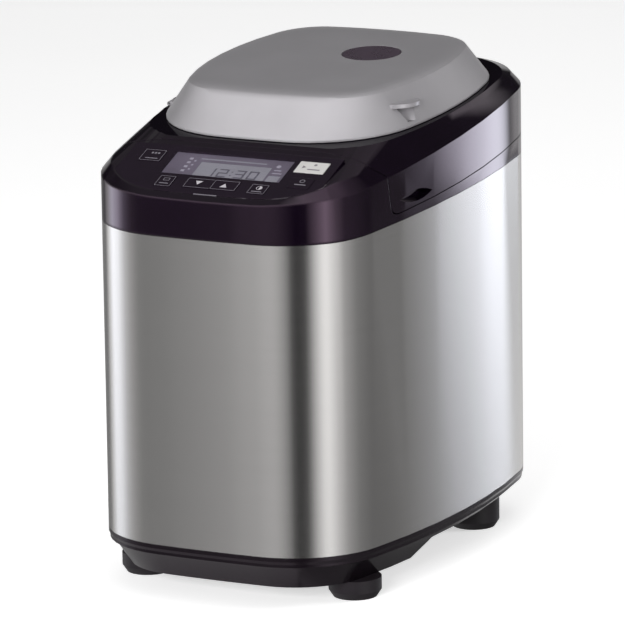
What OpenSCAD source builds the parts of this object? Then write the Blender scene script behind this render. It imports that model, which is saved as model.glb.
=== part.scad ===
// Bread machine: steel-wrapped body, front control panel, rear-hinged lid with a
// dispenser lid on top, baking chamber, bread pan and belt-driven kneading blade.
// Millimetres. +Z up, front towards -Y, right side towards +X.
// Origin on the floor under the centre of the footprint.

/* [Body] */
// width over the steel wrap
body_w = 252; // [248:1:260]
// depth over the steel wrap, front to back
body_d = 383; // [378:1:395]
// radius of the four vertical corners
corner_r = 74.5; // [68:0.5:80]
// how far the front and back faces turn away from straight, degrees each side
front_bow = 2.5; // [1:0.5:4]
// how far the side faces turn away from straight, degrees each side
side_bow = 10.5; // [6:0.5:12]
// thickness of the steel wrap
steel_t = 0.8; // [0.6:0.1:1.2]
// height of the lower edge of the steel wrap
steel_bottom_z = 43; // [42:0.5:46]
// height of the upper edge of the steel wrap at the front
steel_top_z = 282.6; // [278:0.5:284]
// wall thickness of the mouldings
wall = 2.5; // [2.2:0.1:3]

/* [Collar and lid] */
// height of the collar edge at the front
rim_front_z = 315; // [313:0.5:318]
// how much higher the lid edge is at the back than at the front
rim_rise = 42; // [40:0.5:44]
// height of the lid seam above the floor at mid depth
seam_mid_z = 303.5; // [302.5:0.25:304.5]
// rise of the seam and of the deck per millimetre of depth
lid_slope = 0.078; // [0.076:0.001:0.08]
// height of the flat deck under the dispenser lid at mid depth
deck_mid_z = 354.5; // [353.5:0.25:356]
// where the lid begins behind the control panel
lid_front_y = -109; // [-111:0.5:-107]
// gap between the lid and the collar
seam_gap = 0.8; // [0.6:0.1:1.2]
// height of the lid hinge axis
hinge_z = 335; // [334:0.25:336]

/* [Dispenser lid] */
// width of the dispenser lid at its base
dome_w = 219.5; // [214:0.5:221]
// depth of the dispenser lid at its base
dome_d = 267; // [262:0.5:268]
// width across the top face
dome_top_w = 187.6; // [180:0.5:190]
// depth across the top face
dome_top_d = 212.5; // [206:0.5:216]
// height of the top face at mid depth
dome_top_z = 383.3; // [380:0.5:387]
// diameter of the steam vent cap
vent_d = 46; // [40:1:50]

/* [Control panel] */
// length of the display window
display_w = 102; // [90:1:104]
// height of the display window
display_h = 31.5; // [26:0.5:32]
// travel of every key
key_travel = 0.8; // [0.5:0.1:1]

/* [Baking chamber] */
// inside width of the chamber
chamber_w = 188; // [184:1:190]
// inside depth of the chamber
chamber_d = 218; // [214:1:218]
// distance from mid depth of the body to the middle of the chamber
chamber_y = 42; // [41:0.5:43]

/* [Bread pan] */
// width of the pan at the top
pan_w = 146; // [136:1:148]
// depth of the pan at the top
pan_d = 176; // [168:1:178]
// height of the pan body
pan_h = 139; // [130:1:142]
// sheet thickness of the pan
pan_t = 1.6; // [1.2:0.1:2]
// diameter of the wire of the pan handle
bail_d = 4; // [3.5:0.1:4.5]

/* [Drive] */
// diameter of the drive shaft and of the blade shaft
shaft_d = 8; // [7:0.5:9]
// outside diameter of the large pulley
pulley_d = 104; // [96:1:110]
// outside diameter of the motor pulley
motor_pulley_d = 16; // [15:0.5:18]
// distance from the kneading axis forward to the motor axis
belt_reach = 170; // [166:1:172]

/* [Feet] */
// radius of the rubber feet
foot_r = 20.5; // [18:0.1:21]
// sideways distance of the front feet from the middle
foot_front_x = 90; // [86:0.2:90]
// sideways distance of the rear feet from the middle
foot_rear_x = 83; // [78:0.5:84]

/* [Hidden] */
$fn = 48;

fit = 0.3;
slip = 0.06;
eps = 0.02;
half_d = body_d / 2;
half_w = body_w / 2;
reach = 260;

// ---- outlines -------------------------------------------------------------

// radii of the long arcs that close a bowed rounded outline, [front, side]
function bow_radii(w, d, r, fa, sa) =
  let(a = sin(fa), b = 1 - cos(sa), c = 1 - cos(fa), e = sin(sa))
  let(p = w / 2 - r * (cos(sa) - sin(fa)), q = d / 2 - r * (cos(fa) - sin(sa)))
  let(det = a * e - b * c)
  [(p * e - b * q) / det, (a * q - c * p) / det];

// one quarter of the outline, from the middle of the front to the middle of the right side
function quarter(w, d, r, fa, sa) =
  let(big = bow_radii(w, d, r, fa, sa), rf = big[0], rs = big[1])
  let(p = [rf * sin(fa), -d / 2 + rf - rf * cos(fa)])
  let(c = p + r * [-sin(fa), cos(fa)])
  [for (i = [0:2]) let(t = fa * i / 2) [rf * sin(t), -d / 2 + rf - rf * cos(t)],
   for (i = [1:10]) let(t = fa + (90 - sa - fa) * i / 10) c + r * [sin(t), -cos(t)],
   for (i = [2:-1:0]) let(t = sa * i / 3) [w / 2 - rs + rs * cos(t), -rs * sin(t)]];

// closed outline with flat-arc sides and rounded corners, middle at height y on the plan
function outline(w, d, r, fa, sa, y = 0) =
  let(q = quarter(w, d, r, fa, sa), m = len(q) - 1)
  [for (i = [0:m]) [q[i][0], q[i][1] + y],
   for (i = [m - 1:-1:0]) [q[i][0], y - q[i][1]],
   for (i = [1:m]) [-q[i][0], y - q[i][1]],
   for (i = [m - 1:-1:1]) [-q[i][0], q[i][1] + y]];

function body_outline(inset = 0) =
  outline(body_w - 2 * inset, body_d - 2 * inset, corner_r - inset, front_bow, side_bow);

// height of an edge that rises towards the back with a slight crown
function edge_z(y, front, rise, crown) =
  let(u = (y + half_d) / body_d) front + rise * u + 4 * crown * u * (1 - u);

rim_crown = 3.25;
steel_rise = 17.3;
steel_crown = 4;
function rim_z(y) = edge_z(y, rim_front_z, rim_rise, rim_crown);
function steel_z(y) = edge_z(y, steel_top_z, steel_rise, steel_crown);
function seam_z(y) = seam_mid_z + lid_slope * y;
function deck_z(y) = deck_mid_z + lid_slope * y;

lid_tilt = atan(lid_slope);

// the flat slope of the control panel
panel_slope = 0.4;
panel_tilt = atan(panel_slope);
panel_y = -half_d + 4.5;
panel_z = rim_front_z + 1;
function panel_plane(y) = panel_z + panel_slope * (y - panel_y);

function lift(ring, z) = [for (p = ring) [p[0], p[1], z]];
function mix(a, b, t) = [for (i = [0:len(a) - 1]) a[i] * (1 - t) + b[i] * t];

// solid through a list of closed rings, lowest first
module loft(rings) {
  n = len(rings[0]);
  k = len(rings);
  polyhedron(
    points = [for (r = rings) each r],
    faces = concat(
      [[for (i = [0:n - 1]) i]],
      [[for (i = [n - 1:-1:0]) (k - 1) * n + i]],
      [for (j = [0:k - 2], i = [0:n - 1])
        [j * n + i, (j + 1) * n + i, j * n + (i + 1) % n]],
      [for (j = [0:k - 2], i = [0:n - 1])
        [(j + 1) * n + i, (j + 1) * n + (i + 1) % n, j * n + (i + 1) % n]]));
}

module prism(ring, low, high) {
  translate([0, 0, low]) linear_extrude(high - low) polygon(ring);
}

// extrudes a side view, drawn as [depth, height], across the whole width
module across(w = 2 * reach) {
  translate([-w / 2, 0, 0]) rotate([90, 0, 90]) linear_extrude(w) children();
}

// block with rounded vertical corners, centred on x and y
module rounded_block(w, d, h, r) {
  linear_extrude(h) union() {
    square([w - 2 * r, d], center = true);
    square([w, d - 2 * r], center = true);
    for (x = [-1, 1], y = [-1, 1]) {
      translate([x * (w / 2 - r), y * (d / 2 - r)]) circle(r);
    }
  }
}

module rod_x(r, x0, x1) {
  translate([x0, 0, 0]) rotate([0, 90, 0]) cylinder(r = r, h = x1 - x0);
}

module rod_y(r, y0, y1) {
  translate([0, y0, 0]) rotate([-90, 0, 0]) cylinder(r = r, h = y1 - y0);
}

// everything under the curved upper edge of the steel, moved up by dz
module under_steel_edge(dz = 0) {
  n = 12;
  across() polygon(concat(
    [[reach, 0], [-reach, 0]],
    [for (i = [0:n])
      let(y = -half_d - 1 + (body_d + 2) * i / n)
      [i == 0 ? -reach : i == n ? reach : y, steel_z(y) + dz]]));
}

// frame of the control panel, x across, y up the slope, z out of the panel
module on_panel() {
  translate([0, panel_y, panel_z]) rotate([panel_tilt, 0, 0]) children();
}

// frame of the sloping deck, z at right angles to it
module on_deck() {
  translate([0, 0, deck_mid_z]) rotate([lid_tilt, 0, 0]) children();
}

// frame of the seam plane on which the lid closes
module on_seam() {
  translate([0, 0, seam_mid_z]) rotate([lid_tilt, 0, 0]) children();
}

// ---- upper body: collar and lid are cut from one lofted form ---------------

band_inset = 8;
band_rise = 9;
deck_margin = 1.25;
dome_y = 25.5;
dome_r = 79.5;
dome_front_bow = 2;
dome_side_bow = 10.8;
panel_wall = 3.2;

function upper_rings(t) =
  let(rim = body_outline(t), band = body_outline(band_inset + t))
  let(top = outline(dome_w + 2 * (deck_margin - t), dome_d + 2 * (deck_margin - t),
    dome_r + deck_margin - t, dome_front_bow, dome_side_bow, dome_y))
  [lift(rim, 200 - 10 * t),
   [for (p = rim) [p[0], p[1], rim_z(p[1]) - t]],
   [for (p = band) [p[0], p[1],
     min(panel_plane(p[1]) + 0.15, rim_z(p[1]) + band_rise) - t]],
   [for (p = top) [p[0], p[1], deck_z(p[1]) + 5]]];

// the form inside a wall of thickness t, flat on the panel and on the deck
module upper_form(t = 0) {
  panel_cut = t == 0 ? 0 : panel_wall;
  intersection() {
    loft(upper_rings(t));
    on_panel() translate([-reach, -reach, -reach - panel_cut]) cube([2 * reach, 3 * reach, reach]);
    on_deck() translate([-reach, -reach, -reach - t]) cube([2 * reach, 2 * reach, reach]);
  }
}

seam_step = 9;
seam_step_h = 7.5;
seam_slant = 0.15;
seam_corner = 9;
step_z = rim_z(lid_front_y) + 0.5;

// side view of the seam between collar and lid: down behind the panel, a step forward
// over the rim, a slanted edge, a rounded corner, then back along the side
seam_low_y = (lid_front_y + seam_slant * (step_z - seam_mid_z)) / (1 + seam_slant * lid_slope);
seam_corner_p = [seam_low_y, seam_z(seam_low_y)];
seam_up_p = seam_corner_p + seam_corner * [-seam_slant, 1];
seam_back_p = seam_corner_p + seam_corner * [1, lid_slope];
function seam_edge(g) = concat(
  [[lid_front_y - seam_step + g, 2 * reach],
   [lid_front_y - seam_step + g, step_z + seam_step_h + g],
   [lid_front_y + g, step_z + g]],
  [for (i = [0:4]) let(t = i / 4)
    seam_up_p * (1 - t) * (1 - t) + seam_corner_p * 2 * t * (1 - t) + seam_back_p * t * t + [g, g]],
  [[reach, seam_z(reach) + g]]);

module collar_side(g) {
  across() polygon(concat(seam_edge(g), [[reach, 0], [-reach, 0], [-reach, 2 * reach]]));
}

module lid_side(g) {
  across() polygon(concat(seam_edge(g), [[reach, 2 * reach]]));
}

// room inside the lid, open downwards, behind its front wall
module lid_room(g) {
  low = step_z - 120;
  across() polygon([
    [lid_front_y - seam_step + g, 2 * reach],
    [lid_front_y - seam_step + g, step_z + seam_step_h + g],
    [lid_front_y + g, step_z + g],
    [lid_front_y + g + (step_z - low) * seam_slant, low],
    [reach, low],
    [reach, 2 * reach]]);
}

// ---- base -------------------------------------------------------------------

base_edge_gap = 0.3;
base_front_z = 15.5;
base_rear_z = 29.5;
base_step_y = -56;
base_step_run = 16.5;
base_floor_t = 3;
base_lip_h = 9;
front_floor_z = base_front_z + base_floor_t;
rear_floor_z = base_rear_z + base_floor_t;
foot_front_y = -118;
foot_rear_y = 108;
post_r = 5;
plate_z = 58;
plate_t = 2;
post_x = 84;
post_ys = [-150, -40, 130];
screw_r = 1.6;
screw_head_r = 3.2;
air_slots = 6;
air_slot_x = 36;
air_slot_w = 28;
air_slot_y = -166;
air_slot_pitch = 11;

module base_form(t) {
  top_z = steel_bottom_z - base_edge_gap;
  loft([
    lift(body_outline(16.5 + t), base_front_z),
    lift(body_outline(5 + t), 33),
    lift(body_outline(1.5 + t), 36.5),
    lift(body_outline(t), top_z - 3),
    lift(body_outline(t), top_z + (t > 0 ? 1 : 0))]);
}

// side view of everything above the stepped underside
module above_step(dz) {
  across() polygon([
    [-reach, base_front_z + dz],
    [base_step_y, base_front_z + dz],
    [base_step_y + base_step_run, base_rear_z + dz],
    [reach, base_rear_z + dz],
    [reach, 100],
    [-reach, 100]]);
}

module at_posts() {
  for (x = [-1, 1], y = post_ys) translate([x * post_x, y, 0]) children();
}

module base() {
  color("#241a26") difference() {
    union() {
      intersection() {
        base_form(0);
        above_step(0);
      }
      difference() {
        prism(body_outline(steel_t + fit), steel_bottom_z - 8, steel_bottom_z + base_lip_h);
        prism(body_outline(steel_t + fit + wall), 0, 100);
      }
    }
    difference() {
      intersection() {
        base_form(wall + 0.5);
        above_step(base_floor_t);
      }
      at_posts() cylinder(r = post_r, h = plate_z);
    }
    // air slots under the motor
    for (x = [-1, 1], i = [0:air_slots - 1]) {
      translate([x * air_slot_x - air_slot_w / 2, air_slot_y + air_slot_pitch * i, 0])
        cube([air_slot_w, 4, base_front_z + 2 * base_floor_t]);
    }
    at_feet() cylinder(r = screw_r + 0.1, h = 60);
    at_posts() translate([0, 0, plate_z - 16]) cylinder(r = screw_r + 0.05, h = 20);
  }
  color("#241a26") at_posts() difference() {
    translate([0, 0, rear_floor_z - 1]) cylinder(r = post_r, h = plate_z - rear_floor_z + 1);
    translate([0, 0, plate_z - 16]) cylinder(r = screw_r + 0.05, h = 20);
  }
}

// ---- feet -------------------------------------------------------------------

foot_chamfer_r = 3.6;
foot_chamfer_h = 5.5;
foot_pit_r = 5;
foot_pit_h = 8;

function foot_places() = [[-foot_front_x, foot_front_y, base_front_z],
  [foot_front_x, foot_front_y, base_front_z],
  [-foot_rear_x, foot_rear_y, base_rear_z],
  [foot_rear_x, foot_rear_y, base_rear_z]];

module at_feet() {
  for (p = foot_places()) translate([p[0], p[1], 0]) children();
}

module foot(i) {
  p = foot_places()[i];
  color("#1b1a1c") translate([p[0], p[1], 0]) difference() {
    union() {
      cylinder(r1 = foot_r - foot_chamfer_r, r2 = foot_r, h = foot_chamfer_h);
      translate([0, 0, foot_chamfer_h]) cylinder(r = foot_r, h = p[2] - foot_chamfer_h);
    }
    translate([0, 0, -1]) cylinder(r = foot_pit_r, h = foot_pit_h + 1);
    cylinder(r = screw_r + slip, h = 60);
  }
}

module front_left_foot() { foot(0); }
module front_right_foot() { foot(1); }
module rear_left_foot() { foot(2); }
module rear_right_foot() { foot(3); }

module screw(length) {
  union() {
    cylinder(r = screw_r, h = length);
    difference() {
      translate([0, 0, -2]) cylinder(r = screw_head_r, h = 2);
      translate([-2, -0.4, -3]) cube([4, 0.8, 2]);
      translate([-0.4, -2, -3]) cube([0.8, 4, 2]);
    }
  }
}

module foot_screws() {
  color("#9a9ca0") for (p = foot_places()) {
    translate([p[0], p[1], foot_pit_h]) screw(p[2] - foot_pit_h + base_floor_t + 2);
  }
}

// ---- steel wrap and cord inlet ----------------------------------------------

inlet_x = -38;
inlet_z = 74;
inlet_r = 7;

function back_y(x) = max([for (p = body_outline(0)) abs(p[0] - x) < 16 ? p[1] : 0]);

module steel_wrap() {
  color("#b9babb") difference() {
    intersection() {
      prism(body_outline(0), steel_bottom_z, rim_front_z + rim_rise);
      under_steel_edge();
    }
    prism(body_outline(steel_t), 0, 2 * reach);
    translate([inlet_x, 0, inlet_z]) rod_y(inlet_r + 0.2, half_d - 40, half_d + 5);
  }
}

module cord_inlet() {
  y = back_y(inlet_x);
  color("#1b1a1c") translate([inlet_x, 0, inlet_z]) difference() {
    union() {
      rod_y(inlet_r, y - 14, y + 1.5);
      rod_y(inlet_r + 4, y - 14, y - 9);
      rod_y(inlet_r + 2.5, y + 0.3, y + 3);
    }
    rod_y(3.6, y - 20, y + 5);
  }
}

// ---- collar -----------------------------------------------------------------

tower_half = 85;
tower_top = 5;
hinge_y = half_d - 7.5;
hinge_r = 2;
arm_x = 60;
arm_w = 8;
arm_room = 9;
lug_w = 5;
collar_lip_h = 9;
well_r = 30;
chamber_top_z = 286.5;
chamber_sheet = 1;
panel_low = 3;
panel_high = 68;
panel_half = 89;
panel_t = 1.5;
panel_inset = 8.8;

// plate of the control panel, drawn in the panel frame between two depths
module panel_plate(inset, low, high) {
  intersection() {
    prism(body_outline(panel_inset + inset), rim_front_z - 40, rim_front_z + 80);
    on_panel() translate([-panel_half + inset, panel_low, low])
      cube([2 * (panel_half - inset), panel_high - inset - panel_low, high - low]);
  }
}

module well(w, d, r, low, high) {
  translate([0, chamber_y, low]) rounded_block(w, d, high - low, r);
}

module collar() {
  color("#2a1c2c") difference() {
    union() {
      difference() {
        intersection() {
          upper_form(0);
          collar_side(0);
        }
        intersection() {
          upper_form(wall);
          collar_side(-wall);
        }
        under_steel_edge(fit);
      }
      difference() {
        intersection() {
          prism(body_outline(steel_t + fit), steel_top_z - 30, rim_front_z + 5);
          under_steel_edge(fit + 2);
        }
        prism(body_outline(steel_t + fit + wall - 0.5), 0, 2 * reach);
        under_steel_edge(-collar_lip_h);
      }
      // wall of the well around the chamber mouth
      difference() {
        intersection() {
          well(chamber_w + 2 * wall, chamber_d + 2 * wall, well_r + wall, chamber_top_z + fit, 340);
          collar_side(-0.5);
        }
        well(chamber_w, chamber_d, well_r, 0, 400);
      }
      // hinge tower
      difference() {
        intersection() {
          upper_form(0);
          translate([-tower_half, hinge_y - 12, seam_z(hinge_y) - wall])
            cube([2 * tower_half, 40, hinge_z + tower_top - seam_z(hinge_y) + wall]);
        }
        upper_form(wall);
      }
      intersection() {
        prism(body_outline(wall - 0.5), 200, 400);
        for (s = [-1, 1], e = [-1, 1]) {
          translate([s * arm_x + e * (arm_w + lug_w + 1) / 2 - lug_w / 2, 0, 0]) {
            translate([0, hinge_y, hinge_z]) rod_x(tower_top, 0, lug_w);
            translate([0, hinge_y - tower_top, seam_z(hinge_y) - wall])
              cube([lug_w, 20, hinge_z - seam_z(hinge_y) + wall]);
          }
        }
      }
    }
    well(chamber_w, chamber_d, well_r, 0, 400);
    // slots that the hinge arms swing into
    for (s = [-1, 1]) {
      translate([s * arm_x - arm_w / 2 - 0.5, hinge_y - arm_room, hinge_z - arm_room])
        cube([arm_w + 1, 30, 40]);
    }
    translate([0, hinge_y, hinge_z]) rod_x(hinge_r + slip, -100, 100);
    // seat of the panel, with windows
    panel_plate(0, -panel_t - 0.05, 10);
    on_panel() {
      for (k = keys) key_window(k, 0.4);
      translate([-display_w / 2 + 2, display_s + 2, -10]) cube([display_w - 4, display_h - 4, 20]);
    }
  }
  color("#2a1c2c") on_panel() for (x = [-1, 1], s = board_post_s) {
    translate([x * board_post_x, s, -board_gap]) difference() {
      cylinder(r = 3, h = board_gap - panel_wall + 0.4);
      translate([0, 0, -1]) cylinder(r = 1.2, h = 5);
    }
  }
}

// ---- control panel ----------------------------------------------------------

display_s = 29.5;
board_gap = 10;
board_post_x = 70;
board_post_s = [8.5, 64.8];
board_half = 84;
board_low = 5;
board_high = 66;
board_t = 1.6;
switch_w = 6;
window_gap = 0.3;
key_flange = 1.2;
key_cap_d = 4.3;
// [left, right, lower edge, upper edge] on the panel slope
menu_box = [-76.4, -58, 43.5, 59];
size_box = [-47.2, -33.5, 11.3, 25.6];
down_box = [-23.2, -0.65, 12.8, 25.6];
up_box = [-0.15, 21.2, 12.8, 25.6];
timer_box = [31.5, 46.3, 11.8, 24.6];
start_box = [56, 80.7, 45.3, 60];
stop_box = [60, 78, 24, 38];
keys = [menu_box, size_box, down_box, up_box, timer_box, start_box, stop_box];

module key_window(k, g) {
  translate([k[0] - g, k[2] - g, -20]) cube([k[1] - k[0] + 2 * g, k[3] - k[2] + 2 * g, 40]);
}

module key(k, tint, mark = 0) {
  color(tint) on_panel() union() {
    translate([k[0], k[2], -key_cap_d]) cube([k[1] - k[0], k[3] - k[2], key_cap_d + 0.3]);
    translate([k[0] - key_flange * (mark == 1 ? 0 : 1), k[2] - key_flange, -panel_wall - fit - 1.6])
      cube([k[1] - k[0] + key_flange * (mark == 0 ? 2 : 1), k[3] - k[2] + 2 * key_flange, 1.6]);
    translate([(k[0] + k[1]) / 2, (k[2] + k[3]) / 2, -panel_wall - fit - 3]) cylinder(r = 2, h = 2);
  }
}

module menu_key() { key(menu_box, "#2a1c2c"); }
module size_key() { key(size_box, "#2a1c2c"); }
module down_key() { key(down_box, "#2a1c2c", 2); }
module up_key() { key(up_box, "#2a1c2c", 1); }
module timer_key() { key(timer_box, "#2a1c2c"); }
module start_key() { key(start_box, "#d5d3d0"); }
module stop_key() { key(stop_box, "#2a1c2c"); }

module control_panel() {
  color("#2f2132") difference() {
    panel_plate(0.3, -panel_t, 0);
    on_panel() {
      for (k = keys) key_window(k, window_gap);
      translate([-display_w / 2, display_s, -10]) cube([display_w, display_h, 20]);
    }
  }
}

module display_window() {
  color("#5d5566") on_panel() translate([-display_w / 2 + 0.2, display_s + 0.2, -panel_t])
    cube([display_w - 0.4, display_h - 0.4, panel_t]);
}

module display_module() {
  color("#9a9ca6") on_panel() translate([0, display_s, 0]) {
    translate([-display_w / 2 + 3, 0.5, -board_gap + 3])
      cube([display_w - 6, display_h - 1, board_gap - 3 - panel_wall - fit]);
    for (x = [-1, 1]) translate([x * 38 - 3, display_h / 2 - 3, -board_gap]) cube([6, 6, 4]);
  }
}

module control_board() {
  color("#2f6b3c") union() {
    intersection() {
      prism(body_outline(wall + 2), rim_front_z - 40, rim_front_z + 80);
      on_panel() translate([-board_half, board_low, -board_gap - board_t])
        cube([2 * board_half, board_high - board_low, board_t]);
    }
    on_panel() for (k = keys) {
      translate([(k[0] + k[1]) / 2, (k[2] + k[3]) / 2, -board_gap]) {
        translate([-switch_w / 2, -switch_w / 2, -0.1]) cube([switch_w, switch_w, 1.6]);
        cylinder(r = 1.8, h = board_gap - panel_wall - fit - 3 - key_travel - fit);
      }
    }
  }
}

// ---- lid --------------------------------------------------------------------

seal_h = 2;
liner_t = 1;
liner_gap = seal_h + fit;
liner_fit = 0.5;
notch_top = 9;
tower_room = 18;
deck_over_seam = (deck_mid_z - seam_mid_z) * cos(lid_tilt);
// how far back a point of the deck frame lies in the seam frame
deck_shift = (deck_mid_z - seam_mid_z) * sin(lid_tilt);
// hoppers hung in the deck: [x, y, width, depth, corner radius]
nut_box = [0, -30, 96, 58, 6];
yeast_box = [-36, 62, 46, 40, 8];
duct_x = 30;
duct_y = 58;
duct_r = 15;
lid_boss = [[-94, -62], [94, -62], [-94, 104], [94, 104]];
grip_y = -70;
grip_w = 46;
grip_h = 9;
grip_depth = 6.5;
grip_in = 3.7;
grip_up = 8.2;
grip_turn = 5.6;
dome_pin_x = -(dome_w / 2 + 0.4);
dome_pin_up = 1.2;
dome_lug_r = 2.2;
dome_pin_r = 1;
dome_knuckle_y = 44;
dome_knuckle_w = 10;

// finger recess above the seam, a level lens-shaped pocket in the side of the lid
module grip(t) {
  lens_r = (grip_w * grip_w + grip_h * grip_h) / (4 * grip_h);
  rise = lens_r - grip_h / 2;
  translate([half_w - grip_in, grip_y, seam_z(grip_y) + grip_up]) rotate([0, 0, -grip_turn]) {
    intersection() {
      translate([0, 0, rise]) rod_x(lens_r + t, -grip_depth - t, 4 * grip_depth, $fn = 128);
      translate([0, 0, -rise]) rod_x(lens_r + t, -grip_depth - t, 4 * grip_depth, $fn = 128);
    }
  }
}

module lid_shell() {
  color("#241826") difference() {
    union() {
      difference() {
        intersection() {
          upper_form(0);
          lid_side(seam_gap);
        }
        intersection() {
          upper_form(wall);
          lid_room(seam_gap + wall);
        }
      }
      intersection() {
        upper_form(0);
        grip(wall - 0.5);
      }
      intersection() {
        upper_form(0);
        on_seam() translate([0, 0, liner_gap + liner_t]) {
          for (p = lid_boss) translate([p[0], p[1], 0]) cylinder(r = 5, h = deck_over_seam);
          translate([duct_x, duct_y, 0]) cylinder(r = duct_r, h = deck_over_seam);
        }
      }
      // arms and barrels of the lid hinge
      intersection() {
        upper_form(0);
        for (s = [-1, 1]) translate([s * arm_x - arm_w / 2, hinge_y, hinge_z]) {
          rod_x(tower_top + 0.5, 0, arm_w);
          translate([0, -4, 0]) cube([arm_w, 8, 40]);
        }
      }
    }
    // room for the tower behind the lid
    translate([-tower_half - 1, hinge_y - tower_room, 0])
      cube([2 * tower_half + 2, 60, hinge_z - tower_top - 1.5]);
    for (x = [[-tower_half - 1, -arm_x - arm_w / 2], [-arm_x + arm_w / 2, arm_x - arm_w / 2],
        [arm_x + arm_w / 2, tower_half + 1]]) {
      translate([x[0], hinge_y - tower_room, 0]) cube([x[1] - x[0], 60, hinge_z + notch_top]);
    }
    translate([-tower_half - 1, hinge_y + tower_top + 0.5, 0])
      cube([2 * tower_half + 2, 60, hinge_z + notch_top]);
    translate([0, hinge_y, hinge_z]) rod_x(hinge_r + slip, -100, 100);
    grip(0);
    on_deck() {
      for (b = [nut_box, yeast_box]) translate([b[0], b[1], -deck_over_seam])
        rounded_block(b[2] + 2 * fit, b[3] + 2 * fit, 2 * deck_over_seam, b[4]);
      // room for the barrels of the dispenser lid
      translate([dome_pin_x, dome_y, dome_pin_up]) for (s = [-1, 1], e = [-1, 1]) {
        translate([0, s * dome_knuckle_y + e * dome_knuckle_w, 0])
          rod_y(dome_lug_r + fit, -dome_knuckle_w / 2, dome_knuckle_w / 2);
      }
    }
    on_seam() {
      translate([duct_x, duct_y, 0]) cylinder(r = duct_r - 2, h = 2 * deck_over_seam);
      for (p = lid_boss) translate([p[0], p[1], 0]) cylinder(r = 1.6, h = 16);
    }
  }
  // lugs of the dispenser lid hinge
  color("#241826") on_deck() translate([dome_pin_x, dome_y, 0]) {
    for (s = [-1, 1]) difference() {
      union() {
        translate([0, s * dome_knuckle_y, dome_pin_up])
          rod_y(dome_lug_r, -dome_knuckle_w / 2, dome_knuckle_w / 2);
        translate([-dome_lug_r, s * dome_knuckle_y - dome_knuckle_w / 2, -1.5])
          cube([2 * dome_lug_r - 1, dome_knuckle_w, dome_pin_up + 1.5]);
      }
      translate([0, 0, dome_pin_up]) rod_y(dome_pin_r + slip, -100, 100);
    }
  }
}

module hinge_rod() {
  color("#9a9ca0") translate([0, hinge_y, hinge_z])
    rod_x(hinge_r, -arm_x - arm_w / 2 - lug_w - 1, arm_x + arm_w / 2 + lug_w + 1);
}

// flat outline inside the skirt of the lid
module lid_inside(inset, front, back) {
  intersection() {
    polygon(body_outline(inset));
    translate([-reach, front]) square([2 * reach, back - front]);
  }
}

liner_front = lid_front_y + 12;
liner_back = hinge_y - 17;

module lid_liner() {
  color("#c6c8ca") difference() {
    on_seam() translate([0, 0, liner_gap]) difference() {
      union() {
        linear_extrude(liner_t) lid_inside(wall + 4, liner_front, liner_back);
        // pressed rib around the hot area
        translate([0, chamber_y - 3, -1.4]) linear_extrude(1.5) difference() {
          square([chamber_w - 30, chamber_d - 30], center = true);
          square([chamber_w - 34, chamber_d - 34], center = true);
        }
      }
      for (b = [nut_box, yeast_box]) {
        translate([b[0], b[1] + deck_shift, -10])
          rounded_block(b[2] + 2 * liner_fit, b[3] + 2 * liner_fit, 20, b[4]);
      }
      translate([duct_x, duct_y, -5]) {
        cylinder(r = 2.5, h = 10);
        for (a = [0:60:300]) rotate([0, 0, a]) translate([8, 0, 0]) cylinder(r = 2.5, h = 10);
      }
      for (p = lid_boss) translate([p[0], p[1], -5]) cylinder(r = 1.7, h = 10);
    }
    grip(wall);
  }
}

module lid_seal() {
  color("#e4e2de") on_seam() translate([0, chamber_y - 2, fit]) difference() {
    rounded_block(chamber_w + 20, chamber_d + 14, seal_h, 34);
    translate([0, 0, -1]) rounded_block(chamber_w + 8, chamber_d + 2, seal_h + 2, 28);
  }
}

// ---- dispensers in the lid ----------------------------------------------------

hopper_t = 1.6;
hopper_low = -deck_over_seam - 0.6;
flap_t = 1.8;
flap_gap = 0.4;
flap_pin_y = 2.4;
flap_pin_z = -0.8;

module hopper(b) {
  on_deck() translate([b[0], b[1], 0]) difference() {
    union() {
      rounded_block(b[2] + 8, b[3] + 8, 1.6, b[4] + 4);
      translate([0, 0, hopper_low]) rounded_block(b[2], b[3], -hopper_low + 1, b[4]);
    }
    translate([0, 0, hopper_low - 1])
      rounded_block(b[2] - 2 * hopper_t, b[3] - 2 * hopper_t, 100, b[4] - hopper_t);
  }
  // hinge lugs behind the hopper
  on_deck() translate([b[0], b[1] + b[3] / 2, hopper_low]) {
    for (s = [-1, 1]) difference() {
      translate([s * (b[2] / 2 - b[4] - 4) - 1.5, -1.2, -2.8]) cube([3, 5.6, 5]);
      translate([0, flap_pin_y, flap_pin_z]) rod_x(1 + slip, -100, 100);
    }
  }
}

module flap(b) {
  w = b[2] - 4;
  on_deck() translate([b[0], b[1] + b[3] / 2, hopper_low]) difference() {
    union() {
      translate([-w / 2, -b[3] + 1, -flap_gap - flap_t]) cube([w, b[3] - 1 + flap_pin_y, flap_t]);
      translate([0, flap_pin_y, flap_pin_z]) rod_x(2, -b[2] / 2 + b[4] + 6.2, b[2] / 2 - b[4] - 6.2);
      translate([-w / 2 + 8, -b[3] + 8, -flap_gap - flap_t - 1]) cube([w - 16, b[3] - 18, 1.1]);
    }
    translate([0, flap_pin_y, flap_pin_z]) rod_x(1 + slip, -100, 100);
    for (s = [-1, 1]) {
      translate([s * (b[2] / 2 - b[4] - 4) - 2, -1.8, -5]) cube([4, 10, 10]);
    }
  }
}

module nut_dispenser() { color("#8d8f92") hopper(nut_box); }
module yeast_dispenser() { color("#8d8f92") hopper(yeast_box); }
module nut_flap() { color("#a7a9ac") flap(nut_box); }
module yeast_flap() { color("#a7a9ac") flap(yeast_box); }

module flap_pins() {
  color("#9a9ca0") on_deck() for (b = [nut_box, yeast_box]) {
    translate([b[0], b[1] + b[3] / 2 + flap_pin_y, hopper_low + flap_pin_z])
      rod_x(1, -b[2] / 2 + b[4] + 2, b[2] / 2 - b[4] - 2);
  }
}

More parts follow.
